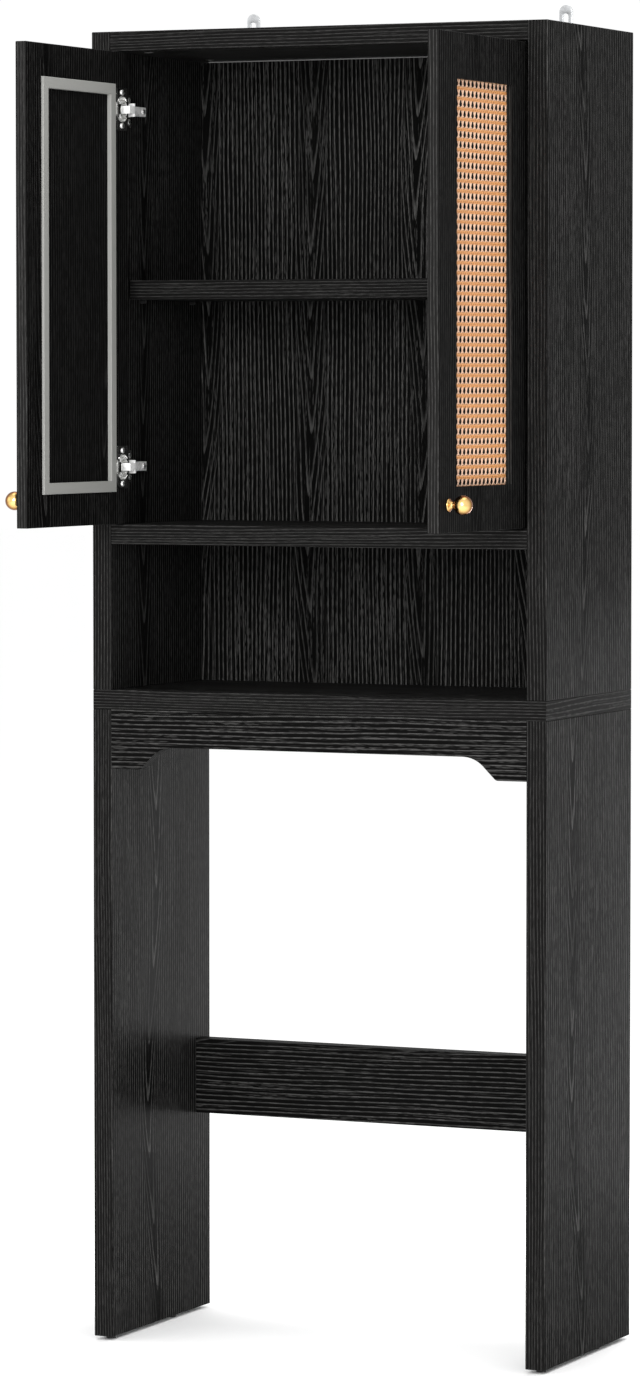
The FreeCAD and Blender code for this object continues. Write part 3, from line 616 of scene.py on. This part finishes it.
def add_slotted_head(bm, at, turn, radius, rise, dome, slot_depth, shank=0.0, shank_radius=0.0):
    """A round head on the plane Z = 0 with a cross slot in its top, and its shank below."""
    start = set(bm.verts)
    rims = [add_rim(bm, radius, 0.0)]
    for share, drop in DOME:
        rims.append(add_rim(bm, radius * share, rise - drop * dome))
    for level, arm in ((rise, 0.55 * radius), (rise - slot_depth, 0.34 * radius)):
        cross = add_rim(bm, radius, 0.0)
        for vert in cross:
            cross_shape(vert, arm)
        bmesh.ops.translate(bm, verts=cross, vec=(0, 0, level))
        rims.append(cross)
    if shank:
        for level in (0.0, -shank):
            rims.insert(0, add_rim(bm, shank_radius, level))
    loops = []
    for rim in rims:
        inside = set(rim)
        loops.append([edge for edge in bm.edges if edge.verts[0] in inside and edge.verts[1] in inside])
    for below, above in zip(loops, loops[1:]):
        bmesh.ops.bridge_loops(bm, edges=below + above)
    bmesh.ops.contextual_create(bm, geom=loops[0])
    bmesh.ops.contextual_create(bm, geom=loops[-1])
    made = [vert for vert in bm.verts if vert not in start]
    bmesh.ops.transform(bm, matrix=Matrix.Translation(at) @ turn, verts=made)


def facing(direction):
    """A turn that brings Z onto a direction."""
    return Vector(direction).to_track_quat("Z", "Y").to_matrix().to_4x4()


def islands_of(node):
    """The boxes of a node's separate solids."""
    bm = bmesh.new()
    bm.from_mesh(nodes[node].data)
    bmesh.ops.remove_doubles(bm, verts=bm.verts, dist=2e-6)
    left = set(bm.verts)
    boxes = []
    while left:
        front = [left.pop()]
        found = []
        while front:
            vert = front.pop()
            found.append(vert.co.copy())
            for edge in vert.link_edges:
                other = edge.other_vert(vert)
                if other in left:
                    left.remove(other)
                    front.append(other)
        low = Vector(min(co[axis] for co in found) for axis in range(3))
        high = Vector(max(co[axis] for co in found) for axis in range(3))
        boxes.append((low, high))
    bm.free()
    return sorted(boxes, key=lambda box: tuple(box[0]))


def inward(centre):
    return Vector((-1 if centre.x > 0 else 1, 0, 0))


def make_screws(name, node, body, size, heading=None):
    """Every screw of a node again, with a domed, cross-slotted head that faces inward or as told."""
    bm = bmesh.new()
    rise = size["rise"]
    for number, (low, high) in enumerate(islands_of(node)):
        centre = (low + high) / 2
        out = inward(centre) if heading is None else heading
        length = abs(out.dot(high - low))
        seat = centre + out * (length / 2 - rise)
        spin = Matrix.Rotation(0.7 * number, 4, "Z")
        add_slotted_head(bm, seat, facing(out) @ spin, dome=0.6 * rise, slot_depth=0.75 * rise,
                         shank=length - rise, **size)
    bmesh.ops.recalc_face_normals(bm, faces=bm.faces)
    piece = add_piece(name, bm, FASTENER, body, (node,))
    piece.data.set_sharp_from_angle(angle=math.radians(40))


make_screws("hinge_arm_cross_screws", "hinge_arm_screws", "cabinet", HINGE_SCREW)
make_screws("hinge_plate_cross_screws", "hinge_plate_screws", "cabinet", HINGE_SCREW)
make_screws("bracket_cross_screws", "bracket_screws", "cabinet", BRACKET_SCREW, Vector((0, 0, 1)))
for side in SIDES:
    make_screws(side + "_cup_cross_screws", side + "_cup_screws", side + "_door_leaf", HINGE_SCREW)


def make_cams():
    """Cam discs flush with the boards that they lock, each with a cross slot and a rounded rim."""
    bm = bmesh.new()
    for number, (low, high) in enumerate(islands_of("cam_discs")):
        centre = (low + high) / 2
        size = high - low
        if size.z < max(size.x, size.y) - 1e-4:
            out, mouth = Vector((0, 0, -1)), Vector((centre.x, centre.y, low.z))
        else:
            out, mouth = Vector((0, 1, 0)), Vector((centre.x, high.y, centre.z))
        spin = Matrix.Rotation(0.4 * number, 4, "Z")
        add_slotted_head(bm, mouth - out * CAM_DEEP, facing(out) @ spin, CAM_RADIUS, CAM_DEEP,
                         dome=0.0008, slot_depth=0.004)
    bmesh.ops.recalc_face_normals(bm, faces=bm.faces)
    piece = add_piece("cross_slot_cams", bm, ZINC_CAST, "cabinet", ("cam_discs",))
    piece.data.set_sharp_from_angle(angle=math.radians(40))


make_cams()


# ---------------------------------------------------------------------------------------------
# Floor, lights and camera
# ---------------------------------------------------------------------------------------------
FLOOR_REACH = 40.0


def make_studio():
    """A wide pale floor under a white sky."""
    bm = bmesh.new()
    bmesh.ops.create_circle(bm, cap_ends=True, segments=64, radius=FLOOR_REACH)
    mesh = bpy.data.meshes.new("studio")
    bm.to_mesh(mesh)
    bm.free()
    studio = bpy.data.objects.new("studio", mesh)
    bpy.context.scene.collection.objects.link(studio)
    material, tree, shader, places = new_material("studio_paint", roughness=0.9)
    mottle = cloud(tree, places["Object"], 3.0)
    paint = tinted(tree, mottle, (0.975, 0.975, 0.975, 1), (0.985, 0.985, 0.985, 1))
    tree.links.new(paint, shader["Base Color"])
    mesh.materials.append(material)


def softbox(name, at, aim, size, power):
    light = bpy.data.lights.new(name, "AREA")
    light.shape = "RECTANGLE"
    light.size, light.size_y = size
    light.energy = power
    lamp = bpy.data.objects.new(name, light)
    lamp.location = at
    lamp.rotation_mode = "QUATERNION"
    lamp.rotation_quaternion = (Vector(aim) - Vector(at)).to_track_quat("-Z", "Y")
    bpy.context.scene.collection.objects.link(lamp)


make_studio()
softbox("key", (1.1, -5.0, 2.4), (0.1, 0, 0.9), (1.8, 2.2), 150)
softbox("fill", (-4.0, -2.5, 2.2), (0, 0, 0.9), (3.0, 3.0), 25)
softbox("top", (0, 0.5, 4.5), (0, 0.2, 0), (3.0, 3.0), 60)
softbox("behind", (0.30, 1.6, 0.45), (-0.29, 0.1, 0.40), (0.7, 0.9), 16)

AIR_STRENGTH = 1.02

world = bpy.data.worlds.new("studio_air")
bpy.context.scene.world = world
world.use_nodes = True
world.node_tree.nodes["Background"].inputs["Color"].default_value = (1, 1, 1, 1)
world.node_tree.nodes["Background"].inputs["Strength"].default_value = AIR_STRENGTH

FOCAL_MM = 146.13
SENSOR_MM = 36.0
CAMERA_AT = (2.9509, -6.5042, 1.2569)
CAMERA_YAW = math.radians(24.395)
CAMERA_PITCH = math.radians(-3.166)

camera_data = bpy.data.cameras.new("camera")
camera_data.lens = FOCAL_MM
camera_data.sensor_width = SENSOR_MM
camera = bpy.data.objects.new("camera", camera_data)
camera.location = CAMERA_AT
camera.rotation_euler = (math.radians(90) + CAMERA_PITCH, 0, CAMERA_YAW)
bpy.context.scene.collection.objects.link(camera)
bpy.context.scene.camera = camera
bpy.context.scene.view_settings.view_transform = "Standard"
